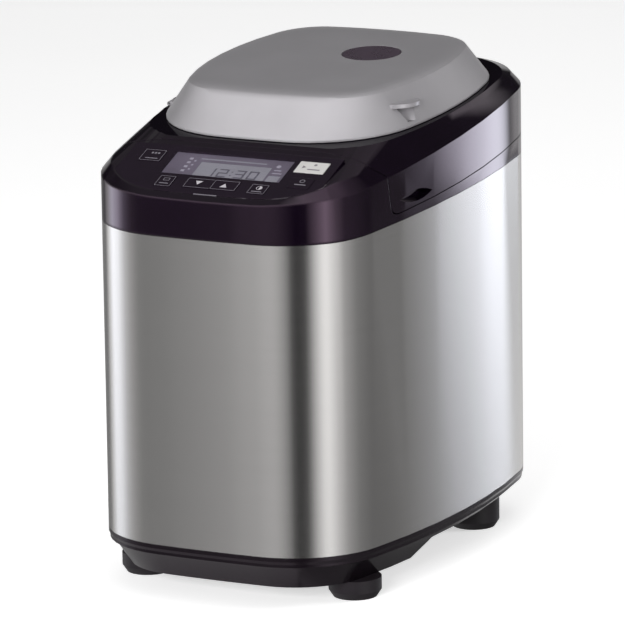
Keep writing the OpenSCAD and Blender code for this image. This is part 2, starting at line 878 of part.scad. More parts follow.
module flap_solenoids() {
  color("#7c6a3c") on_seam() translate([0, 0, liner_gap + liner_t]) {
    for (b = [nut_box, yeast_box]) translate([b[0] - b[2] / 2 - 16, b[1] - 9, 0]) {
      cube([12, 18, 14]);
      translate([6, 9, 14]) cylinder(r = 4, h = 8);
    }
  }
}

// ---- dispenser lid ------------------------------------------------------------

dome_wall = 2.2;
dome_lift = 0.5;
dome_lip = 1.6;
dome_top_slope = 0.07;
dome_top_tilt = atan(dome_top_slope);
vent_x = 24;
vent_y = 53;
vent_sink = 2.4;
catch_y = -35;
catch_w = 32;
scoop_in = 5.8;
scoop_y = -37;
scoop_low = 4;
scoop_r_low = 4.5;
scoop_r_high = 13.5;
catch_up = 15;
catch_turn = -14.4;
catch_t = 3.2;

function dome_base_ring(t, z) = [for (p = outline(dome_w - 2 * t, dome_d - 2 * t, dome_r - t,
  dome_front_bow, dome_side_bow, dome_y)) [p[0], p[1], deck_z(p[1]) + dome_lift + z]];
function dome_top_ring(t, z) = [for (p = outline(dome_top_w - 2 * t, dome_top_d - 2 * t, 43.7 - t,
  7, 17, dome_y)) [p[0], p[1], dome_top_z + dome_top_slope * p[1] + z]];

module dome_form(t) {
  loft([
    dome_base_ring(t, t > 0 ? -5 : 0),
    dome_base_ring(t, dome_lip),
    mix(dome_base_ring(t, dome_lip), dome_top_ring(t, -t), 0.86),
    mix(dome_base_ring(t, dome_lip), dome_top_ring(t, -t), 0.96),
    dome_top_ring(1.2 + t, -0.2 - t),
    dome_top_ring(4.5 + t, 0.7 - t),
    dome_top_ring(14 + t, 1.2 - t)]);
}

module at_vent() {
  translate([vent_x, vent_y, dome_top_z + dome_top_slope * vent_y + 1.2])
    rotate([dome_top_tilt, 0, 0]) children();
}

// finger scoop below the catch, wide at the ledge and narrow at the foot
module catch_scoop(t) {
  z = deck_z(catch_y);
  translate([dome_w / 2 - scoop_in, scoop_y, z + scoop_low])
    cylinder(r1 = scoop_r_low + t, r2 = scoop_r_high + t, h = catch_up - scoop_low + t);
}

module dispenser_lid() {
  z = deck_z(catch_y);
  color("#b4b6b8") difference() {
    union() {
      difference() {
        dome_form(0);
        dome_form(dome_wall);
      }
      intersection() {
        dome_form(0);
        union() {
          catch_scoop(dome_wall);
          at_vent() translate([0, 0, -vent_sink - 2]) cylinder(r = vent_d / 2 + 2.5, h = vent_sink + 2.5);
        }
      }
      // ledge of the catch
      translate([dome_w / 2 - 9.2, catch_y, z + catch_up]) rotate([0, 0, catch_turn]) intersection() {
        translate([-8, -catch_w / 2, 0]) cube([12, catch_w, catch_t]);
        translate([-17, 0, 0]) cylinder(r = 20, h = catch_t);
      }
      // barrels and webs of the hinge on the left
      on_deck() translate([dome_pin_x, dome_y, dome_pin_up]) for (s = [-1, 1], e = [-1, 1]) {
        translate([0, s * dome_knuckle_y + e * dome_knuckle_w, 0]) {
          rod_y(dome_lug_r - 0.3, -dome_knuckle_w / 2 + 0.4, dome_knuckle_w / 2 - 0.4);
          translate([0, -dome_knuckle_w / 2 + 0.4, dome_lift - dome_pin_up])
            cube([9, dome_knuckle_w - 0.8, 2.4]);
        }
      }
    }
    difference() {
      catch_scoop(0);
      translate([0, -reach, z + catch_up]) cube([200, 2 * reach, 20]);
    }
    at_vent() {
      translate([0, 0, -vent_sink]) cylinder(r = vent_d / 2 + 0.6, h = vent_sink + 5);
      cylinder(r = 4 + slip, h = 40, center = true);
      for (a = [0:36:324]) rotate([0, 0, a]) translate([vent_d / 4, -1.5, -20]) cube([vent_d / 4 - 2, 3, 30]);
    }
    on_deck() translate([dome_pin_x, dome_y, dome_pin_up]) rod_y(dome_pin_r + slip, -100, 100);
  }
}

module dispenser_lid_pins() {
  span = dome_knuckle_w * 1.5 - 1;
  color("#9a9ca0") on_deck() translate([dome_pin_x, dome_y, dome_pin_up]) for (s = [-1, 1]) {
    translate([0, s * dome_knuckle_y, 0]) rod_y(dome_pin_r, -span, span);
  }
}

module vent_cap() {
  color("#3f3040") at_vent() union() {
    translate([0, 0, -vent_sink + 0.7]) cylinder(r = vent_d / 2, h = vent_sink - 0.7);
    translate([0, 0, -vent_sink - 4]) cylinder(r = 4, h = 5);
    for (a = [18:72:306]) rotate([0, 0, a]) translate([vent_d / 2 - 6, -1, -vent_sink]) cube([4, 2, 1.2]);
  }
}

// ---- baking chamber -----------------------------------------------------------

chamber_bottom_z = 74;
chamber_r = 30;
chamber_flange = 8;
housing_r = 11;
heater_r = 3.25;
heater_z = 91;
heater_w = chamber_w - 16;
heater_d = chamber_d - 16;
heater_bend = 28;
terminal_x = 22;
clip_x = 50;

module at_chamber() {
  translate([0, chamber_y, 0]) children();
}

chamber_front_y = chamber_y - chamber_d / 2;

module baking_chamber() {
  color("#c9cbcc") difference() {
    union() {
      at_chamber() {
        translate([0, 0, chamber_bottom_z])
          rounded_block(chamber_w + 2 * chamber_sheet, chamber_d + 2 * chamber_sheet,
            chamber_top_z - chamber_bottom_z, chamber_r + chamber_sheet);
        translate([0, 0, chamber_top_z - 1.2])
          rounded_block(chamber_w + 2 * chamber_flange, chamber_d + 2 * chamber_flange, 1.2,
            chamber_r + chamber_flange);
      }
      at_legs() translate([0, 0, plate_z + plate_t])
        cylinder(r = 5, h = chamber_bottom_z - plate_z - plate_t + 0.5);
    }
    at_chamber() translate([0, 0, chamber_bottom_z + chamber_sheet])
      rounded_block(chamber_w, chamber_d, 300, chamber_r);
    at_chamber() cylinder(r = housing_r + fit, h = 100);
    at_legs() cylinder(r = screw_r + slip, h = 100);
    for (s = [-1, 1]) translate([s * terminal_x, 0, heater_z])
      rod_y(heater_r + fit, -reach, chamber_front_y + 5);
    translate([sensor_x, 0, sensor_z]) rod_y(sensor_r + fit, -reach, chamber_front_y + 5);
  }
}

leg_x = 70;
leg_y = 80;

module at_legs() {
  at_chamber() for (x = [-1, 1], y = [-1, 1]) translate([x * leg_x, y * leg_y, 0]) children();
}

module chamber_screws() {
  color("#9a9ca0") at_legs() translate([0, 0, chamber_bottom_z + chamber_sheet]) mirror([0, 0, 1])
    screw(chamber_bottom_z + chamber_sheet - plate_z + 3);
}

// quarter bend of the tube, starting along +y from the right side
module bend(r) {
  rotate_extrude(angle = 90) translate([r, 0]) circle(heater_r);
}

module heater() {
  x = heater_w / 2;
  y = heater_d / 2;
  r = heater_bend;
  color("#55575a") at_chamber() translate([0, 0, heater_z]) union() {
    for (s = [-1, 1]) translate([s * x, 0, 0]) rod_y(heater_r, -y + r, y - r);
    translate([0, y, 0]) rod_x(heater_r, -x + r, x - r);
    for (a = [[1, 1, 0], [-1, 1, 90], [-1, -1, 180], [1, -1, 270]]) {
      translate([a[0] * (x - r), a[1] * (y - r), 0]) rotate([0, 0, a[2]]) bend(r);
    }
    for (s = [-1, 1]) {
      translate([0, -y, 0]) rod_x(heater_r, s > 0 ? terminal_x : -x + r, s > 0 ? x - r : -terminal_x);
      translate([s * terminal_x, -y, 0]) {
        sphere(heater_r);
        rod_y(heater_r, chamber_front_y - chamber_y + y - 14, 0);
        rod_y(1.2, chamber_front_y - chamber_y + y - 24, 0);
      }
    }
  }
}

module heater_clips() {
  low = chamber_bottom_z + chamber_sheet;
  color("#d8d9da") at_chamber() for (s = [-1, 1], e = [-1, 1]) {
    translate([s * heater_w / 2, e * clip_x, low]) difference() {
      translate([-5, -4, 0]) cube([9, 8, heater_z - low + 1]);
      translate([0, 0, heater_z - low]) rod_y(heater_r + slip, -20, 20);
      translate([-3, -10, -1]) cube([5, 20, heater_z - low - heater_r - 3]);
    }
  }
}

sensor_x = 58;
sensor_z = 130;
sensor_r = 3;

module temperature_sensor() {
  color("#b9babb") translate([sensor_x, 0, sensor_z]) {
    rod_y(sensor_r, chamber_front_y - 12, chamber_front_y + 6);
    rod_y(sensor_r + 4, chamber_front_y - chamber_sheet - 3, chamber_front_y - chamber_sheet);
  }
}

module thermal_fuse() {
  color("#b08d3c") translate([-58, chamber_front_y - chamber_sheet, sensor_z]) union() {
    translate([-14, -2, -5]) cube([28, 2, 10]);
    translate([0, -5, 0]) rod_x(3.2, -10, 10);
  }
}

// ---- bread pan ------------------------------------------------------------------

seat_t = 2;
seat_z = chamber_bottom_z + chamber_sheet;
ring_r = 50;
ring_wall = 2;
lug_r = 54;
lug_low = 9;
lug_h = 4;
claw_r = 60;
claw_arc = 11;
pan_z = 104;
pan_taper = 5;
pan_r = 28;
pan_rim = 3;
pan_rim_t = 2.4;
pan_twist_room = 12;
bail_low = 7;
bail_ear = 4;
bail_reach = 60.8;
bail_bend = 14;
bail_over = 2.2;
bail_rest = asin((bail_low + bail_d / 2 + bail_over) / bail_reach);
bail_y = pan_d / 2 + pan_rim + bail_d / 2 + 1;
pan_top_z = pan_z + pan_h;

module sector(r0, r1, arc, z, h) {
  translate([0, 0, z]) rotate([0, 0, -arc / 2]) rotate_extrude(angle = arc)
    translate([r0, 0]) square([r1 - r0, h]);
}

module bayonet_seat() {
  color("#9ea1a4") at_chamber() translate([0, 0, seat_z]) {
    difference() {
      cylinder(r = claw_r + 3, h = seat_t);
      translate([0, 0, -1]) cylinder(r = housing_r + 20, h = seat_t + 2);
    }
    for (a = [90:120:330]) rotate([0, 0, a]) {
      sector(lug_r + 1.5, claw_r, claw_arc + 4, seat_t - 0.5, lug_low + lug_h + 3 - seat_t + 0.5);
      sector(ring_r + 0.5, claw_r, claw_arc, lug_low + lug_h + 0.4, 2.6);
    }
  }
}

module pan_base_ring() {
  color("#a9abad") at_chamber() translate([0, 0, seat_z]) {
    difference() {
      translate([0, 0, seat_t + fit]) cylinder(r = ring_r, h = pan_z - seat_z - seat_t - fit);
      cylinder(r = ring_r - ring_wall, h = 40);
    }
    for (a = [90:120:330]) rotate([0, 0, a])
      sector(ring_r - 1, lug_r, claw_arc - 1, lug_low, lug_h);
    difference() {
      translate([0, 0, pan_z - seat_z - 2]) cylinder(r = ring_r - 1, h = 2);
      cylinder(r = 9.5, h = 60);
      for (a = [0:60:300]) rotate([0, 0, a]) translate([32, 0, 0]) cylinder(r = 8, h = 60);
    }
  }
}

function pan_ring(w, d, r, z) = [for (c = [[1, 1, 0], [-1, 1, 90], [-1, -1, 180], [1, -1, 270]], i = [0:7])
  let(a = c[2] + 90 * i / 7) [c[0] * (w / 2 - r) + r * cos(a), c[1] * (d / 2 - r) + r * sin(a), z]];

module pan_form(t) {
  loft([
    pan_ring(pan_w - 2 * pan_taper - 2 * t, pan_d - 2 * pan_taper - 2 * t, pan_r - 6 - t, pan_z + t),
    pan_ring(pan_w - 2 * t, pan_d - 2 * t, pan_r - t, pan_top_z + (t > 0 ? 1 : 0))]);
}

module bread_pan() {
  color("#4a4b4e") at_chamber() difference() {
    union() {
      pan_form(0);
      translate([0, 0, pan_top_z - pan_rim_t])
        rounded_block(pan_w + 2 * pan_rim, pan_d + 2 * pan_rim, pan_rim_t, pan_r + pan_rim);
      for (s = [-1, 1]) {
        translate([0, s * (pan_d / 2 + bail_ear / 2 - 2), pan_top_z - bail_low])
          rod_y(6, -bail_ear / 2 - 1, bail_ear / 2);
      }
    }
    pan_form(pan_t);
    translate([0, 0, pan_z - 1]) cylinder(r = 9.5, h = 10);
    for (s = [-1, 1]) translate([0, s * pan_d / 2, pan_top_z - bail_low])
      rod_y(bail_d / 2 + 0.2, s > 0 ? -1 : -12, s > 0 ? 12 : 1);
  }
}

// wire handle of the pan, folded over to the right
module pan_handle() {
  run = bail_reach - bail_bend;
  half = bail_y - bail_bend;
  r = bail_d / 2;
  color("#b9babb") at_chamber() translate([0, 0, pan_top_z - bail_low]) rotate([0, -bail_rest, 0]) union() {
    for (s = [-1, 1]) {
      translate([0, s * bail_y, 0]) {
        rod_x(r, 0, run);
        sphere(r);
      }
      rod_y(r, s > 0 ? pan_d / 2 - 0.6 : -bail_y, s > 0 ? bail_y : -pan_d / 2 + 0.6);
    }
    translate([bail_reach, 0, 0]) rod_y(r, -half, half);
    for (s = [[1, 0], [-1, 270]]) translate([run, s[0] * half, 0]) rotate([0, 0, s[1]])
      rotate_extrude(angle = 90) translate([bail_bend, 0]) circle(r);
  }
}

module pan_bearing() {
  color("#b08d3c") at_chamber() difference() {
    union() {
      translate([0, 0, pan_z - 4]) cylinder(r = 9.3, h = pan_t + 4);
      translate([0, 0, pan_z + pan_t]) cylinder(r = 12, h = 3);
      translate([0, 0, pan_z - 8]) cylinder(r = 9.3, h = 4.5);
    }
    cylinder(r = shaft_d / 2 + slip, h = 300);
  }
}

// ---- kneading drive ---------------------------------------------------------------

blade_z = pan_z + pan_t + 3 + fit;
dog_z = 92.5;
pulley_z = 39;
pulley_h = 9;
belt_h = 6.4;
belt_t = 1.6;
tooth_count = 24;

module kneading_blade() {
  color("#3c3d40") at_chamber() translate([0, 0, blade_z]) difference() {
    union() {
      cylinder(r = 9, h = 20);
      translate([0, 0, 20]) sphere(r = 9);
      intersection() {
        translate([0, -1.8, 0]) cube([46, 3.6, 34]);
        translate([18, 0, 4]) rod_y(30, -5, 5);
      }
      translate([-22, -2.5, 0]) cube([22, 5, 5]);
    }
    cylinder(r = shaft_d / 2 + slip, h = 20);
    translate([0, 0, -10]) cylinder(r = 100, h = 10);
  }
}

module blade_shaft() {
  color("#c6c8ca") at_chamber() union() {
    translate([0, 0, dog_z + 1]) cylinder(r = shaft_d / 2, h = blade_z + 19 - dog_z - 1);
  }
}

module pan_coupling() {
  color("#77797c") at_chamber() translate([0, 0, dog_z]) difference() {
    union() {
      translate([-17, -3, -3]) cube([34, 6, 5]);
      translate([0, 0, -3]) cylinder(r = 7, h = 6);
    }
    translate([0, 0, 1 - 0.02]) cylinder(r = shaft_d / 2 + slip, h = 10);
  }
}

module drive_coupling() {
  top = dog_z - 3 - fit;
  color("#77797c") at_chamber() difference() {
    union() {
      translate([0, 0, seat_z + 4]) cylinder(r = 18, h = top - seat_z - 4);
      for (a = [45, 225]) rotate([0, 0, a]) sector(11, 17.7, 50, top - 0.5, 5.5);
    }
    translate([0, 0, 60]) cylinder(r = shaft_d / 2 + slip, h = top - 62);
  }
}

module drive_shaft() {
  color("#c6c8ca") at_chamber() translate([0, 0, pulley_z - 3])
    cylinder(r = shaft_d / 2, h = dog_z - 5.5 - pulley_z + 3);
}

module bearing_housing() {
  color("#a9abad") at_chamber() difference() {
    union() {
      translate([0, 0, seat_z]) cylinder(r = housing_r + 13, h = 2);
      translate([0, 0, pulley_z + pulley_h + 1])
        cylinder(r = housing_r, h = seat_z + 3 - pulley_z - pulley_h - 1);
    }
    cylinder(r = shaft_d / 2 + slip, h = 200);
    for (a = [45:90:315]) rotate([0, 0, a]) translate([17, 0, 0]) cylinder(r = 1.8, h = 200);
  }
}

module pulley(d, h, teeth) {
  difference() {
    union() {
      cylinder(d = d, h = h);
      cylinder(d = d + 3, h = 1);
      translate([0, 0, h - 1]) cylinder(d = d + 3, h = 1);
    }
  }
}

module large_pulley() {
  color("#d8d4c8") at_chamber() translate([0, 0, pulley_z]) difference() {
    union() {
      pulley(pulley_d, pulley_h);
      translate([0, 0, -2]) cylinder(r = 11, h = pulley_h + 2);
    }
    translate([0, 0, -3]) cylinder(r = shaft_d / 2 + slip, h = 40);
    for (a = [0:60:300]) rotate([0, 0, a]) translate([pulley_d * 0.29, 0, -5])
      cylinder(r = pulley_d * 0.1, h = 40);
    difference() {
      translate([0, 0, pulley_h / 2]) cylinder(d = pulley_d - 10, h = pulley_h);
      cylinder(r = 14, h = 40);
    }
  }
}

motor_y = chamber_y - belt_reach;

module motor_pulley() {
  color("#c6c8ca") translate([0, motor_y, pulley_z]) difference() {
    pulley(motor_pulley_d, pulley_h);
    translate([0, 0, -1]) cylinder(r = 3 + slip, h = 40);
  }
}

// flat belt as two arcs joined by straight runs
module belt_side(big, small, h) {
  a = asin((big - small) / belt_reach);
  linear_extrude(h) union() {
    circle(big);
    translate([0, -belt_reach]) circle(small);
    polygon([
      [big * cos(a), -big * sin(a)],
      [-big * cos(a), -big * sin(a)],
      [-small * cos(a), -belt_reach - small * sin(a)],
      [small * cos(a), -belt_reach - small * sin(a)]]);
  }
}

module drive_belt() {
  big = pulley_d / 2 + fit;
  small = motor_pulley_d / 2 + fit;
  color("#222224") at_chamber() translate([0, 0, pulley_z + (pulley_h - belt_h) / 2]) difference() {
    belt_side(big + belt_t, small + belt_t, belt_h);
    translate([0, 0, -1]) belt_side(big, small, belt_h + 2);
  }
}

// ---- motor and chassis ---------------------------------------------------------------

motor_w = 70;
motor_z = plate_z + plate_t + 4;
stack_h = 34;
bell_h = 18;

module motor() {
  color("#8d8f92") translate([0, motor_y, motor_z]) difference() {
    union() {
      translate([-motor_w / 2, -motor_w / 2, bell_h]) cube([motor_w, motor_w, stack_h]);
      cylinder(r = motor_w / 2 - 3, h = bell_h + 1);
      translate([0, 0, bell_h + stack_h - 1]) cylinder(r = motor_w / 2 - 3, h = bell_h);
      translate([0, 0, 2 * bell_h + stack_h - 3]) cylinder(r = 11, h = 8);
      for (x = [-1, 1], y = [-1, 1]) translate([x * 28, y * 28, -4]) cylinder(r = 4, h = bell_h + 5);
    }
    for (x = [-1, 1], y = [-1, 1]) translate([x * 28, y * 28, -10]) cylinder(r = 1.6, h = 20);
    for (a = [0:45:315]) rotate([0, 0, a]) translate([22, -3, bell_h + stack_h + 6]) cube([20, 6, 7]);
    for (a = [0:45:315]) rotate([0, 0, a]) translate([22, -3, 5]) cube([20, 6, 8]);
    translate([0, 0, -20]) cylinder(r = 3 + slip, h = 200);
  }
}

module motor_shaft() {
  color("#c6c8ca") translate([0, motor_y, pulley_z - 1])
    cylinder(r = 3, h = motor_z + 2 * bell_h + stack_h + 8 - pulley_z);
}

module chassis_plate() {
  color("#b9babb") difference() {
    intersection() {
      translate([0, 0, plate_z]) linear_extrude(plate_t) polygon(body_outline(steel_t + fit + wall + 1));
      translate([-post_x - 12, -half_d, 0]) cube([2 * post_x + 24, body_d - 18, 100]);
    }
    at_chamber() cylinder(r = housing_r + fit, h = 100);
    translate([0, motor_y, 0]) cylinder(r = motor_pulley_d / 2 + 5, h = 100);
    for (x = [-1, 1], y = [-1, 1]) translate([x * 28, motor_y + y * 28, 0]) cylinder(r = 1.8, h = 100);
    at_posts() cylinder(r = screw_r + slip, h = 100);
    at_legs() cylinder(r = screw_r + slip, h = 100);
    // weight-saving windows each side
    for (x = [-1, 1], y = [-62, 10, 70]) translate([x * 40, y, 0]) rounded_block(34, 26, 100, 5);
  }
}

module chassis_screws() {
  color("#9a9ca0") at_posts() translate([0, 0, plate_z + plate_t]) mirror([0, 0, 1]) screw(plate_t + 12);
}

module power_board() {
  x = -post_x - 8;
  color("#2f6b3c") {
    translate([x, -112, plate_z + plate_t]) cube([1.6, 36, 90]);
    translate([x + 1.6, -108, plate_z + plate_t + 14]) cube([18, 26, 22]);
    translate([x + 1.6, -104, plate_z + plate_t + 44]) cube([12, 18, 16]);
    translate([x + 1.6, -96, plate_z + plate_t + 74]) rod_x(5, 0, 16);
  }
}

module motor_capacitor() {
  color("#e0ded8") translate([68, -112, plate_z + plate_t]) union() {
    cylinder(r = 16, h = 48);
    translate([-4, -1, 47]) cube([2, 2, 7]);
    translate([2, -1, 47]) cube([2, 2, 7]);
  }
}

base();
front_left_foot();
front_right_foot();
rear_left_foot();
rear_right_foot();
foot_screws();
steel_wrap();
collar();
control_panel();
display_window();
display_module();
control_board();
menu_key();
size_key();
down_key();
up_key();
timer_key();
start_key();
stop_key();
lid_shell();
lid_liner();
lid_seal();
hinge_rod();
dispenser_lid();
dispenser_lid_pins();
vent_cap();
nut_dispenser();
nut_flap();
yeast_dispenser();
yeast_flap();
flap_pins();
flap_solenoids();
baking_chamber();
chamber_screws();
heater();
heater_clips();
temperature_sensor();
thermal_fuse();
bayonet_seat();
bread_pan();
pan_base_ring();
pan_bearing();
pan_handle();
kneading_blade();
blade_shaft();
pan_coupling();
drive_coupling();
drive_shaft();
bearing_housing();
large_pulley();
drive_belt();
motor();
motor_shaft();
motor_pulley();
chassis_plate();
chassis_screws();
power_board();
motor_capacitor();
cord_inlet();
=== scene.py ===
import math

import bpy
from mathutils import Matrix, Vector


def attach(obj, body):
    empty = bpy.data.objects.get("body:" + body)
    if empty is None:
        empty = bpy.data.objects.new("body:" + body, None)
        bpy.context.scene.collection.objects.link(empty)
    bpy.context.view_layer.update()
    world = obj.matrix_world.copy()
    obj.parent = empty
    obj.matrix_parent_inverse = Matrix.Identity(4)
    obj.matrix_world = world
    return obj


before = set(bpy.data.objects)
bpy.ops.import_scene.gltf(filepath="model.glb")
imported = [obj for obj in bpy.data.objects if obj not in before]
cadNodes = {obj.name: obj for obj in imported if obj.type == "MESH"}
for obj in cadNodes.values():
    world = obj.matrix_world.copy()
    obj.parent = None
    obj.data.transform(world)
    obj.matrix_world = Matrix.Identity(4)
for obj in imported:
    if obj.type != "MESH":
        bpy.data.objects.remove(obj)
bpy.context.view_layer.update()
scene = bpy.context.scene
mm = 0.001
print("frame loaded")

cameraSet = {
    "place": (2.0683, -4.0376, 1.2199),
    "forward": (-0.44526, 0.86755, -0.22159),
    "up": (-0.08840, 0.20367, 0.97504),
    "lens": 342.1,
    "sensor": 36,      # width of the sensor in millimetres
    "farthest": 60,    # metres
}


def addCamera(settings):
    data = bpy.data.cameras.new("camera")
    data.lens = settings["lens"]
    data.sensor_width = settings["sensor"]
    data.sensor_fit = "HORIZONTAL"
    data.clip_end = settings["farthest"]
    camera = bpy.data.objects.new("camera", data)
    scene.collection.objects.link(camera)
    forward = Vector(settings["forward"]).normalized()
    side = forward.cross(Vector(settings["up"])).normalized()
    up = side.cross(forward)
    turn = Matrix((side, up, -forward)).transposed().to_4x4()
    camera.matrix_world = Matrix.Translation(settings["place"]) @ turn
    scene.camera = camera


addCamera(cameraSet)


# shader helpers

def addNode(tree, kind, inputs=None, **facts):
    made = tree.nodes.new(kind)
    for name, value in facts.items():
        setattr(made, name, value)
    for name, value in (inputs or {}).items():
        made.inputs[name].default_value = value
    return made


def grey(colour):
    if isinstance(colour, (int, float)):
        colour = (colour, colour, colour)
    return (*colour, 1)


def ramp(tree, stops, source):
    made = addNode(tree, "ShaderNodeValToRGB")
    marks = made.color_ramp.elements
    while len(marks) < len(stops):
        marks.new(1)
    for mark, (place, colour) in zip(marks, stops):
        mark.position = place
        mark.color = grey(colour)
    tree.links.new(source, made.inputs["Fac"])
    return made.outputs["Color"]


def span(tree, source, low, high, start=0, end=1):
    ends = {"From Min": start, "From Max": end, "To Min": low, "To Max": high}
    made = addNode(tree, "ShaderNodeMapRange", ends)
    tree.links.new(source, made.inputs["Value"])
    return made.outputs["Result"]


def axisPart(tree, source, axis):
    parts = addNode(tree, "ShaderNodeSeparateXYZ")
    tree.links.new(source, parts.inputs[0])
    return parts.outputs[axis]


def maths(tree, operation, *terms):
    # a term is a plain number or what another node gives
    made = addNode(tree, "ShaderNodeMath", operation=operation)
    for socket, term in zip(made.inputs, terms):
        if isinstance(term, (int, float)):
            socket.default_value = term
        else:
            tree.links.new(term, socket)
    return made.outputs[0]


def mixShaders(tree, factor, plain, other):
    made = addNode(tree, "ShaderNodeMixShader")
    for socket, source in zip(made.inputs, (factor, plain, other)):
        tree.links.new(source, socket)
    return made.outputs[0]


def objectPlace(tree, stretch=(1, 1, 1)):
    place = addNode(tree, "ShaderNodeTexCoord")
    mapping = addNode(tree, "ShaderNodeMapping", {"Scale": stretch})
    tree.links.new(place.outputs["Object"], mapping.inputs["Vector"])
    return mapping.outputs["Vector"]


def noise(tree, scale, detail=3, stretch=(1, 1, 1), rough=0.5):
    made = addNode(tree, "ShaderNodeTexNoise", {"Scale": scale, "Detail": detail, "Roughness": rough})
    tree.links.new(objectPlace(tree, stretch), made.inputs["Vector"])
    return made.outputs["Fac"]


def addBump(tree, shader, height, strength, distance=0.0003):
    made = addNode(tree, "ShaderNodeBump", {"Strength": strength, "Distance": distance})
    tree.links.new(height, made.inputs["Height"])
    tree.links.new(made.outputs["Normal"], shader.inputs["Normal"])
    return made


def newFinish(name, sockets):
    mat = bpy.data.materials.new(name)
    mat.use_nodes = True
    shader = mat.node_tree.nodes["Principled BSDF"]
    for socket, value in sockets.items():
        shader.inputs[socket].default_value = value
    return mat, mat.node_tree, shader


def shade(colour, by):
    return tuple(min(1, c * by) for c in colour)


def tones(colour, spread, low=0.3, high=0.7):
    # ramp stops from a little darker to a little lighter
    return [(low, shade(colour, 1 - spread)), (high, shade(colour, 1 + spread))]


# what a finish has where its own look says nothing else
plainLook = {
    "sockets": {},
    "stretch": (1, 1, 1),
    "scale": 60,          # clouds per metre
    "cloudDetail": 4,
    "spread": 0.1,        # how far the clouds leave the colour either way
    "grain": 900,         # grains per metre
    "grainDetail": 2,
    "depth": 0.05,        # strength of the grain
    "edge": 0,            # radius in metres that edges are shaded with
    "edgeSamples": 4,
}


def roundEdges(tree, look, bump):
    rounded = addNode(tree, "ShaderNodeBevel", {"Radius": look["edge"]}, samples=look["edgeSamples"])
    if "rimAhead" in look:
        # between these two places, front then back, the radius falls to farEdge
        back = axisPart(tree, objectPlace(tree), "Y")
        radius = span(tree, back, look["edge"], look["farEdge"], *look["rimAhead"])
        tree.links.new(radius, rounded.inputs["Radius"])
    tree.links.new(rounded.outputs["Normal"], bump.inputs["Normal"])


def paintedShadeOnTops(tree, look, shader):
    # painted shade: faces that look straight up mirror far less than the sides, so the tops render
    # darker
    place = addNode(tree, "ShaderNodeTexCoord")
    facing = axisPart(tree, place.outputs["Normal"], "Z")
    gloss = span(tree, facing, look["sideGloss"], look["shadedTopGloss"], *look["shadedTopFacing"])
    tree.links.new(gloss, shader.inputs["Specular IOR Level"])


def mottled(name, chosen):
    # a base finish: cloudy colour and gloss, with a fine grain
    look = {**plainLook, **chosen}
    mat, tree, shader = newFinish(name, look["sockets"])
    cloud = noise(tree, look["scale"], look["cloudDetail"], look["stretch"])
    colours = ramp(tree, tones(look["colour"], look["spread"]), cloud)
    tree.links.new(colours, shader.inputs["Base Color"])
    tree.links.new(span(tree, cloud, *look["rough"]), shader.inputs["Roughness"])
    grain = noise(tree, look["grain"], look["grainDetail"], look["stretch"])
    bump = addBump(tree, shader, grain, look["depth"])
    if look["edge"]:
        roundEdges(tree, look, bump)
    if "shadedTopGloss" in look:
        paintedShadeOnTops(tree, look, shader)
    return mat


# finishes

